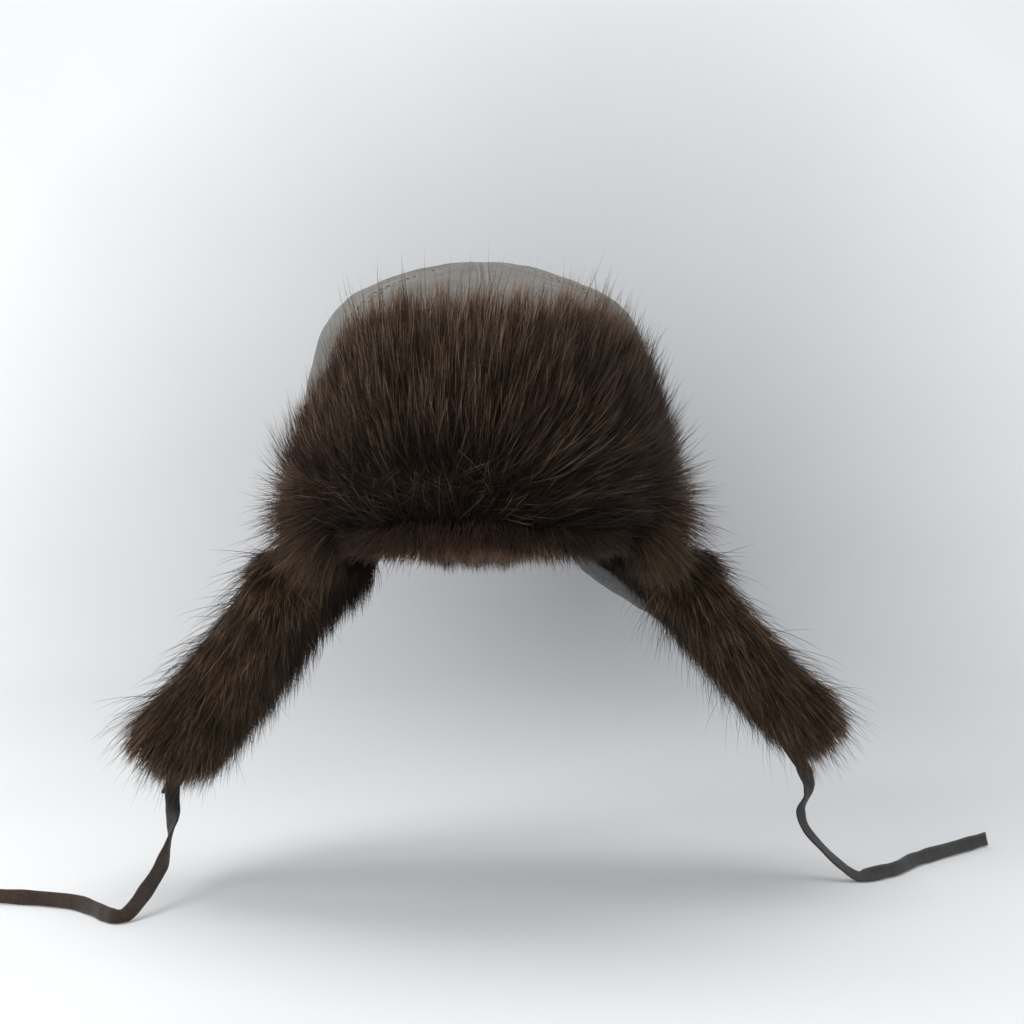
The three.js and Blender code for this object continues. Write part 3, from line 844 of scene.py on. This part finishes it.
def front_root(azimuth, climb):
    """Root, normal and the ways round and up on the front flap's hide. Below climb 0 the hide rolls
    under the fold."""
    start = rim_height(azimuth)
    s = lerp(start, FRONT_HEIGHT, np.maximum(climb, 0))
    point, normal, around, up = crown_frame(azimuth, s)
    root = point + normal * hide_depth(azimuth, climb)[..., None]
    roll = np.clip(-climb / FOLD_SHARE, 0, 1) * math.radians(FOLD_TURN)
    turned = normal * np.cos(roll)[..., None] - up * np.sin(roll)[..., None]
    centre = point + normal * (FRONT_HIDE - FOLD_RADIUS) - up * 1.0
    below = (climb < 0)[..., None]
    rolled = normal * np.sin(roll)[..., None] + up * np.cos(roll)[..., None]
    root = np.where(below, centre + turned * FOLD_RADIUS, root)
    return root, np.where(below, turned, normal), around, np.where(below, rolled, up)


def front_width(climb):
    return FRONT_ANGLE * np.sqrt(1 - (0.975 * np.clip(climb, 0, 1)) ** 4)


def front_places(draw, count):
    """Evenly spread places (azimuth, climb) on the front flap's hide."""
    azimuth = draw.uniform(-FRONT_ANGLE, FRONT_ANGLE, count)
    climb = draw.uniform(-FOLD_SHARE, 1, count)
    keep = np.abs(azimuth) < front_width(climb)
    keep &= azimuth > -lerp(64, 46, smooth(0.35, 0.9, climb))
    keep &= azimuth < lerp(64, 52, smooth(0.3, 0.9, climb))
    return azimuth[keep], climb[keep]


def front_lean(azimuth, height):
    """How far the hair leans from straight up towards +X, in degrees. It is swept sideways near the fold."""
    lean = lerp(-12.0, 32.0, smooth(-64, 70, azimuth))
    swept = 66 * smooth(52, 8, height) * smooth(-12, 26, azimuth)
    pushed = -58 * smooth(34, 6, height) * smooth(-10, -50, azimuth)
    return lean + swept + pushed + 6 * waves(21, 26, azimuth * DEGREE, height)


def make_front_fur():
    draw = np.random.default_rng(101)
    layers = [
        # name, material, count, length, lift, width, segments, tuft size, pull, jitter, wave
        ("front_underfur", UNDERFUR, 24000, 17, 0.62, 0.45, 3, 2.2, 0.35, 0.22, 0.8),
        ("front_fur", FUR, 50000, 32, 0.36, 0.34, 4, 2.3, 0.55, 0.08, 0.9),
        ("front_guard_hair", FUR, 9000, 40, 0.4, 0.46, 5, 9, 0.05, 0.13, 1.8),
    ]
    for name, material, count, reach, lift, width, segments, size, pull, jitter, wave in layers:
        azimuth, climb = front_places(draw, count)
        height = FRONT_HEIGHT * climb
        root, normal, around, up = front_root(azimuth, climb)
        cu, cv, own = clumped(azimuth * TUFT_DEGREE, climb * 100, size, 3)
        tuft = front_root(cu / TUFT_DEGREE, np.clip(cv / 100, -FOLD_SHARE, 1))[0]
        lean = front_lean(azimuth, height)
        messy = smooth(34, 22, np.abs(azimuth + 20)) * smooth(30, 20, height) * smooth(0, 6, height)
        lean = lean + messy * draw.uniform(-75, 75, len(azimuth))
        edge = height + 6 * waves(25, 24, azimuth * DEGREE, 0)
        under = (climb < 0) | (draw.uniform(0, 1, len(azimuth)) < 0.7 * smooth(15, 0, edge))
        aside = smooth(12, 45, np.abs(azimuth)) * np.where(azimuth < 0, -1, 1)
        fallen = 172 * np.where(azimuth < 0, -1, 1) - 62 * aside + draw.uniform(-20, 20, len(azimuth))
        lean = np.where(under, fallen, lean)
        length = reach * lerp(0.8, 1.06, smooth(0, 60, height)) * (1 - 0.35 * messy)
        length = length * lerp(1, 0.75, smooth(30, 60, np.abs(azimuth)) * smooth(20, 60, height))
        length = length * draw.uniform(lerp(0.9, 0.6, smooth(60, 95, height)), 1.1)
        corner = smooth(44, 58, np.abs(azimuth)) * smooth(26, 10, height)
        lean = lean + corner * np.sign(azimuth) * draw.uniform(10, 75, len(azimuth))
        length = np.where(under, reach * lerp(0.36, 0.7, smooth(45, 60, np.abs(azimuth))), length)
        turn = np.radians(lean)[:, None]
        up = np.where(under[:, None], np.array([0, 0, 1.0]), up)
        flow = up * np.cos(turn) + around * np.sin(turn)
        raised = lift * lerp(1.15, 0.85, smooth(10, 90, height)) * np.where(under, 0.8, 1)
        raised = raised * lerp(1, 0.35, smooth(25, 58, -azimuth) * smooth(20, 50, height))
        raised = raised * lerp(1, 0.6, smooth(25, 60, azimuth))
        tone = strand_tone(draw, own, segments > 4) + 0.12 * waves(22, 12, azimuth * DEGREE, height)
        # Painted shade: the hair is darkened towards the fold at the bottom of the flap, where shade falls in
        # the crease; guard hairs only a little.
        tone = tone * lerp(0.85 if segments > 4 else 0.22, 1, smooth(4, 34, height))
        # Painted shade: the hair darkens towards the +X side, away from the key light.
        tone = tone * lerp(1, 0.7, smooth(0, 60, azimuth))
        middle = smooth(38, 14, np.abs(azimuth)) * smooth(2, -3, height)
        # Towards the top edge the tone rises: partly the tips' own paler tan and partly a painted highlight
        # of the light through them.
        tone = np.where(under, lerp(0.25, 0.7, middle) + 0.3 * own, tone + 0.5 * smooth(66, 94, height))
        warm = 0.1 + 0.2 * smooth(85, 100, height) + np.where(under, 0.2, 0)
        strands(name, "crown", "front_flap_fur", material, root, normal, flow, length, raised, draw, width,
                segments, tuft, pull, jitter, wave, warmth=warm, shade=np.clip(tone, 0, 1))


def make_corner_hair():
    """The hair that falls from the front flap's lower corners over the tops of the ear flaps."""
    draw = np.random.default_rng(131)
    count = 7000
    azimuth = draw.uniform(46, 63, count) * draw.choice([-1, 1], count)
    height = draw.uniform(-4, 30, count) * lerp(1, 0.6, smooth(46, 63, np.abs(azimuth)))
    root, normal, around, _ = front_root(azimuth, height / FRONT_HEIGHT)
    aside = np.sign(azimuth)[:, None] * around
    fall = smooth(26, 2, height)[:, None]
    flow = aside * lerp(0.9, 0.65, fall) + DOWN * lerp(-0.1, 0.95, fall) + normal * 0.15
    cu, cv, own = clumped(azimuth * TUFT_DEGREE, height, 2.6, 9)
    tuft = front_root(cu / TUFT_DEGREE, np.clip(cv / FRONT_HEIGHT, -FOLD_SHARE, 1))[0]
    tone = 0.2 + 0.35 * own + 0.35 * draw.uniform(0, 1, count)
    length = 35 * draw.uniform(0.5, 1.15, count)
    strands("front_corner_hair", "crown", "front_flap_fur", EAR_FUR, root, normal, unit(flow), length, 0.34,
            draw, 0.32, 4, tuft, 0.15, 0.24, 1.2, warmth=0.1, shade=tone)


def make_front_hide():
    columns, rows = 72, 48
    across = np.linspace(-1, 1, columns + 1)[None, :]
    climb = np.linspace(-FOLD_SHARE, 1, rows + 1)[:, None]
    azimuth = across * front_width(climb)
    outer, normal, _, _ = front_root(azimuth, climb)
    bumps = 0.5 * waves(23, 9, azimuth * DEGREE, climb * 100)
    outer = outer + normal * bumps[..., None]
    inner = outer - normal * (0.9 + bumps)[..., None]
    made = slab("front_flap_hide", outer, inner, HIDE)
    fit(made, "crown", "fur", "front_flap_fur")


def make_front_layer(name, node, material, slot, shares, margin):
    """The leather backing or the stiffener, between the crown and the front flap's hide."""
    across = np.linspace(-1, 1, 49)[None, :]
    climb = np.linspace(0.04, 0.97, 33)[:, None]
    azimuth = across * (front_width(climb) - margin)
    s = lerp(rim_height(azimuth) + 2, FRONT_HEIGHT - margin, climb)
    point, normal, _, _ = crown_frame(azimuth, s)
    room = hide_depth(azimuth, climb) - 1.2
    crease = 0.06 * room * waves(24, 14, azimuth * DEGREE, s)
    outer = point + normal * (room * shares[1] + crease)[..., None]
    inner = point + normal * (room * shares[0])[..., None]
    made = slab(name, outer, inner, material, wear=0.2)
    fit(made, "crown", slot, node)


def facing_reach(side, s):
    """How far the rear edge's turned-in leather reaches over the inner face; it is wider on one side."""
    extra = 10 * smooth(-5, 25, s) * smooth(118, 84, s) if side == "left" else 0
    return FACING_WIDTH - 2 + extra


def ear_skin(side, s, q):
    """Root, normal and the way to the tip on the ear flap's hide, which lies on the inner face (q 0 to 1
    from rear to front), rolls round the front edge (1 to 1.25) and covers a strip outside (to 1.5)."""
    half, middle, squeeze = ear_row(s)
    rear = middle + half - facing_reach(side, s) * squeeze
    front = middle - half
    roll = np.clip((q - 1) / 0.25, 0, 1) * math.pi
    outside = np.clip((q - 1.25) / 0.25, 0, 1)
    y = np.where(q < 1, lerp(rear, front, np.clip(q, 0, 1)), front + outside * EAR_LEATHER_FRONT * squeeze)
    radius = EAR_HIDE / 2
    y = y - np.sin(roll) * radius
    depth = radius + radius * np.cos(roll)
    inward, tipward, rearward = ear_frame(side, y, s)
    normal = unit(inward * np.cos(roll)[..., None] - rearward * np.sin(roll)[..., None])
    return ear_point(side, y, s, depth), normal, tipward, rearward


def ear_places(draw, count):
    """Places on the hide (s, q), with as many on the narrow roll and outer strip as their size asks."""
    s = draw.uniform(0, 1, count * 2) * (EAR_LENGTH + 2)
    q = draw.uniform(0, 1, count * 2)
    half = ear_row(s)[0]
    q = np.where(q < 0.74, q / 0.74, 1 + (q - 0.74) / 0.26 * 0.5)
    keep = draw.uniform(0, 1, count * 2) < half / EAR_ROOT_HALF
    return s[keep][:count], q[keep][:count]


def make_ear_fur(side):
    draw = np.random.default_rng(201 if side == "left" else 202)
    bare = side == "left"
    layers = [
        (f"ear_underfur_{side}", UNDERFUR, 16000, 16, 0.7, 0.45, 3, 2.4, 0.35, 0.2, 0.8),
        (f"ear_fur_{side}", EAR_FUR, 30000, 26, 0.55, 0.34, 4, 2.6, 0.5, 0.11, 1.0),
        (f"ear_guard_hair_{side}", EAR_FUR, 4600, 40, 0.6, 0.34, 5, 9, 0.05, 0.24, 2.2),
    ]
    for name, material, count, reach, lift, width, segments, size, pull, jitter, wave in layers:
        s, q = ear_places(draw, count)
        if bare and segments > 4:
            s, q = s[(q > 0.3) | (s > 100)], q[(q > 0.3) | (s > 100)]
        root, normal, tipward, rearward = ear_skin(side, s, q)
        cu, cv, own = clumped(q * 100, s, size, 5)
        tuft = ear_skin(side, np.clip(cv, 0, EAR_LENGTH), np.clip(cu / 100, 0, 1.5))[0]
        fan = lerp(-0.55 if bare else 0.2, -0.55, smooth(0.1, 1.1, q)) * lerp(0.8, 1.1, smooth(60, 140, s))
        sway = 0.22 * waves(41 if side == "left" else 42, 34, q * 90, s)
        flow = tipward + rearward * (fan + sway)[:, None] + np.array([0, 0, -0.25])
        root_tuft = smooth(18, 2, s) * smooth(0.75, 1.0, q)
        inward, _, _ = ear_frame(side, 0, s)
        spread = draw.uniform(0.3, 1.05, len(s))[:, None]
        flow = flow + (normal * 0.5 - tipward * spread - rearward * 0.3) * root_tuft[:, None]
        tip = smooth(112, 140, s)
        flow = flow + inward * (0.5 * tip)[:, None]
        length = reach * lerp(0.9, 1.0, smooth(20, 100, s)) * lerp(1, 0.72, tip) * np.where(q > 1.25, 0.72, 1)
        guard = material is EAR_FUR and segments > 4
        length = length * (lerp(0.55, 1, smooth(0.6, 1, q)) if guard else 1)
        length = length * lerp(1, 0.3 if bare else 0.85, smooth(0.34, 0.04, q) * (1 - tip))
        fuller = smooth(0.9, 0.5, q) * smooth(30, 60, s) * (1 - 0.6 * tip)
        length = length * lerp(1, 1 if bare else 1.4, fuller)
        raised = lift * lerp(1.3, 0.8, smooth(0.7, 1.05, q)) * lerp(1, 0.7, tip)
        tone = strand_tone(draw, own, segments > 4) + 0.15 * waves(43, 14, q * 90, s)
        # Painted shade: hair near the root, in the cavity under the front flap, is darkened except along the
        # front edge. The hair is also darker towards the rear edge.
        painted_root_shade = lerp(lerp(0.25, 1, smooth(0.8, 1, q)), 1, smooth(16, 62, s))
        tone = tone * lerp(0.6, 1, smooth(0.3, 0.95, q)) * painted_root_shade
        strands(name, f"ear_flap_{side}", f"ear_flap_fur_{side}", material, root, normal, unit(flow), length,
                raised, draw, width, segments, tuft, (pull * (1 - root_tuft))[:, None], jitter, wave,
                warmth=0.1 + 0.2 * (1 - smooth(0.2, 0.8, q)), shade=np.clip(tone, 0, 1))


def make_ear_hide(side):
    s = (np.linspace(0, 1, 46) ** 0.8 * EAR_LENGTH)[:, None]
    q = np.concatenate([np.linspace(0, 0.98, 22), np.linspace(1, 1.25, 7), np.linspace(1.3, 1.5, 4)])[None, :]
    s, q = np.broadcast_arrays(s, q)
    root, normal, _, _ = ear_skin(side, s, q)
    bumps = 0.4 * waves(44, 9, q * 90, s)
    made = slab(f"ear_hide_{side}", root + normal * bumps[..., None], root - normal * 0.9, HIDE)
    fit(made, f"ear_flap_{side}", "fur", f"ear_flap_fur_{side}")


def make_ear_leather(side):
    """The flap's outer leather, softly creased, with its edge turned in."""
    across = edges(34, 0.5)[None, :]
    s = ((1 - (1 - np.linspace(0, 1, 61)) ** 1.4) * EAR_LENGTH)[:, None]
    half, middle, squeeze = ear_row(s)
    rear, front = middle + half, middle - half + (EAR_LEATHER_FRONT - 2) * squeeze
    y = lerp(front, rear, (across + 1) / 2)
    inward, _, _ = ear_frame(side, y, s)
    rim = np.exp(-((1 - np.abs(across)) * half / 2.5) ** 2)
    crease = 0.5 * waves(51, 40, y, s) + 0.22 * waves(52, 12, y, s * 1.5)
    outer = ear_point(side, y, s, 0.5) - inward * (0.8 + crease * (1 - rim) - 0.5 * rim)[..., None]
    inner = ear_point(side, y, s, 1.9)
    wear = np.clip(0.6 * rim + 0.3 * smooth(0.2, 1, crease), 0, 1)
    made = slab(f"ear_leather_{side}", outer, inner, FLAP_LEATHER, wear=wear)
    fit(made, f"ear_flap_{side}", "crown_leather", f"ear_flap_leather_{side}")


def make_ear_facing(side):
    """The leather turned in over the rear edge: from the outer face, round the edge, to the inner face."""
    s = np.linspace(0.5, EAR_LENGTH * 0.97, 70)[:, None]
    half, middle, squeeze = ear_row(s)
    # Each corner's distance in from the rear edge, as a fixed part and a share of the reach, and its depth.
    section = [(7, 0, -0.9), (3, 0, -1.0), (0.3, 0, 0), (-1.0, 0, 3.5), (0.2, 0, 7.4), (1, 0.2, 8.4),
               (1, 0.55, 8.8), (1.5, 0.95, 8.6)]
    inset, share, depth = (np.array(column)[None, :] for column in zip(*section))
    y = middle + half - (inset + share * facing_reach(side, s)) * squeeze
    crease = 0.25 * waves(53, 10, s, depth * 4)
    outer = ear_point(side, y, s, depth + crease)
    middle_line = ear_point(side, middle + half - 4 * squeeze, s, 3.8)
    inner = outer + unit(middle_line - outer) * 1.1
    wear = np.exp(-((depth - 3.5) / 2.5) ** 2) * 0.8
    made = slab(f"ear_facing_{side}", outer, inner, FLAP_LEATHER, wear=wear)
    fit(made, f"ear_flap_{side}", "crown_leather", f"ear_flap_facing_{side}")
    places = np.arange(4, EAR_LENGTH - 24, STITCH_STEP)
    half, middle, squeeze = ear_row(places)
    y = middle + half - 4.2
    inward, tipward, _ = ear_frame(side, y, places)
    stitches(f"ear_stitching_{side}", ear_point(side, y, places, -1.15), tipward, -inward,
             f"ear_flap_{side}")


def make_ear_fold(side):
    """The soft leather between the crown's rim and the ear flap."""
    y = np.linspace(-EAR_ROOT_HALF + 2, EAR_ROOT_HALF - 1, 74)[None, :]
    spread = np.linspace(20, 178, 400)
    rim = crown_frame(spread, 5)[0]
    heading = np.array([-math.sin(HINGE_HEADING), math.cos(HINGE_HEADING)])
    across = (rim[:, 0] - HINGE[0]) * heading[0] + (rim[:, 1] - HINGE[1]) * heading[1]
    azimuth = np.interp(y, across, spread) * SIGN[side]
    top, normal, _, _ = crown_frame(azimuth, 5)
    top = top + normal * 1.0
    low = ear_point(side, y, 10, -1.9)
    t = np.linspace(0, 1, 15)[:, None, None]
    bulge = lerp(top, low, 0.5) + normal * 2.6
    line = top * (1 - t) ** 2 + bulge * 2 * t * (1 - t) + low * t * t
    pleat = 0.35 * waves(54, 9, y, t[..., 0] * 12)
    outer = line + normal * pleat[..., None]
    made = slab(f"ear_fold_{side}", outer, line - normal * 1.0, FLAP_LEATHER, wear=0.4 * smooth(0, 1, pleat))
    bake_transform(made)


def neck_place(across, t, top, bottom):
    """Azimuth and drop below the rim at a place on the neck flap, which narrows to its rounded corners."""
    azimuth = 180 - across * NECK_ANGLE * (1 - 0.12 * t * t)
    return azimuth, lerp(top, bottom, t) * (1 - 0.25 * across ** 4 * t)


def neck_point(azimuth, drop, depth):
    azimuth, drop, depth = np.broadcast_arrays(azimuth, drop, depth)
    root, normal, _, _ = crown_frame(azimuth, 0)
    return root - normal * depth[..., None] + DOWN * drop[..., None]


def make_neck_flap():
    across = np.linspace(-1, 1, 49)[None, :]
    t = np.linspace(0, 1, 19)[:, None]
    azimuth, drop = neck_place(across, t, -3, NECK_LENGTH)
    crease = 0.3 * waves(61, 16, azimuth * DEGREE, drop)
    outer = neck_point(azimuth, drop, -1.3 + crease)
    inner = neck_point(azimuth, drop, 0.8)
    made = slab("neck_leather", outer, inner, FLAP_LEATHER, wear=0.3 * smooth(0, 1, crease))
    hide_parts("neck_flap_leather")
    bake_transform(made)
    draw = np.random.default_rng(301)
    count = 5200
    across, t = draw.uniform(-1, 1, count), draw.uniform(0, 1, count)
    azimuth, drop = neck_place(across, t, 6, NECK_LENGTH + 0.5)
    root = neck_point(azimuth, drop, 4)
    _, normal, around, _ = crown_frame(azimuth, 0)
    inward = -normal
    flow = DOWN + around * (0.25 * waves(62, 20, azimuth * DEGREE, drop))[:, None] - inward * 0.1
    cu, cv, _ = clumped(azimuth * NECK_DEGREE, drop, 4, 7)
    tuft = neck_point(cu / NECK_DEGREE, cv, 4)
    strands("neck_fur", "neck_flap", "neck_flap_fur", EAR_FUR, root, inward, unit(flow), 15, 0.5,
            draw, 0.3, 4, tuft, 0.35, 0.16, 0.8, warmth=0.2)
    across, t = np.linspace(-1, 1, 49)[None, :], np.linspace(0, 1, 19)[:, None]
    azimuth, drop = neck_place(across, t, 5.5, NECK_LENGTH)
    bumps = 0.3 * waves(63, 8, azimuth * DEGREE, drop)
    outer, inner = neck_point(azimuth, drop, 4.2 + bumps), neck_point(azimuth, drop, 3.8)
    hide = slab("neck_hide", outer, inner, HIDE)
    fit(hide, "neck_flap", "fur", "neck_flap_fur")


def make_tie_tab(side):
    """A folded leather loop that holds the tie at the flap's tip."""
    top = ear_point(side, -EAR_SWEEP, EAR_LENGTH - 4.0, 22.0)
    bottom = np.array(TIE_ROUTES[side][0], float)
    t = np.linspace(0, 1, 31)[:, None, None]
    u = np.linspace(-1, 1, 9)[None, :, None]
    way = unit(bottom - top)
    across = unit(np.array(TIE_WIDTHS[side][0], float))
    facing = unit(np.cross(way, across))
    half = lerp(5.5, 4.2, t)
    middle = lerp(top, bottom + way * 5, t)
    puff = 0.5 * np.sin(t * math.pi)
    outer = middle + across * u * half + facing * (1.3 + puff - 0.5 * u ** 4)
    inner = middle + across * u * half - facing * (1.3 + puff - 0.5 * u ** 4)
    wear = np.abs(u[..., 0]) ** 4
    made = slab(f"tie_loop_{side}", outer, inner, TIE_SUEDE, wear=wear)
    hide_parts(f"tie_tab_{side}")
    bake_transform(made)


def make_pad(name, body, node, outer, inner, joined=False):
    """A layer of needled batting, hidden between a leather and what covers its inner side."""
    made = slab(name, outer, inner, FELT, joined)
    fit(made, body, "padding", node)


def make_crown_batting():
    azimuth = np.linspace(0, 360, 144, endpoint=False)[None, :]
    climb = np.linspace(0, 1, 61)[:, None]
    s = lerp(rim_height(azimuth) + 3, PROFILE_LENGTH - 2, climb)
    point, normal, _, _ = crown_frame(azimuth, s)
    loft = 0.4 * waves(71, 20, azimuth * DEGREE, s)
    make_pad("crown_padding", "crown", "crown_batting", point - normal * (2.2 + loft)[..., None],
             point - normal * 6.9, joined=True)


def make_ear_padding(side):
    s = lerp(3, EAR_LENGTH - 4, np.linspace(0, 1, 49))[:, None]
    across = edges(30, 0.5)[None, :]
    half, middle, squeeze = ear_row(s)
    y = middle + across * (half - 4 * squeeze)
    loft = 0.3 * waves(72, 20, y, s)
    make_pad(f"ear_padding_{side}", f"ear_flap_{side}", f"ear_flap_padding_{side}",
             ear_point(side, y, s, 2.6 + loft), ear_point(side, y, s, 5.7))


def make_neck_padding():
    across = np.linspace(-1, 1, 41)[None, :]
    t = np.linspace(0, 1, 15)[:, None]
    azimuth = 180 - across * (NECK_ANGLE - 1.8) * (1 - 0.12 * t * t)
    drop = lerp(6, NECK_LENGTH - 3, t) * (1 - 0.25 * across ** 4 * t)
    loft = 0.15 * waves(73, 14, azimuth * DEGREE, drop)
    make_pad("neck_padding", "neck_flap", "neck_flap_padding", neck_point(azimuth, drop, 1.4 + loft),
             neck_point(azimuth, drop, 3.4))


make_camera()
for side in SIDES:
    make_tie(side)
make_lights()
make_stage()
for index, place in enumerate(GORE_PLACES):
    make_gore(index, place)
make_topstitching()
make_rim_binding()
make_lining()
make_sweatband()
make_front_layer("front_backing", "front_flap_backing", GREY_LEATHER, "crown_leather", (0.28, 0.5), 2)
make_front_layer("front_stiffener", "front_flap_stiffener", FELT, "padding", (0.62, 0.94), 5)
make_front_hide()
make_front_fur()
make_corner_hair()
for side in SIDES:
    make_ear_leather(side)
    make_ear_facing(side)
    make_ear_fold(side)
    make_ear_hide(side)
    make_ear_fur(side)
    make_tie_tab(side)
make_neck_flap()
make_crown_batting()
for side in SIDES:
    make_ear_padding(side)
make_neck_padding()
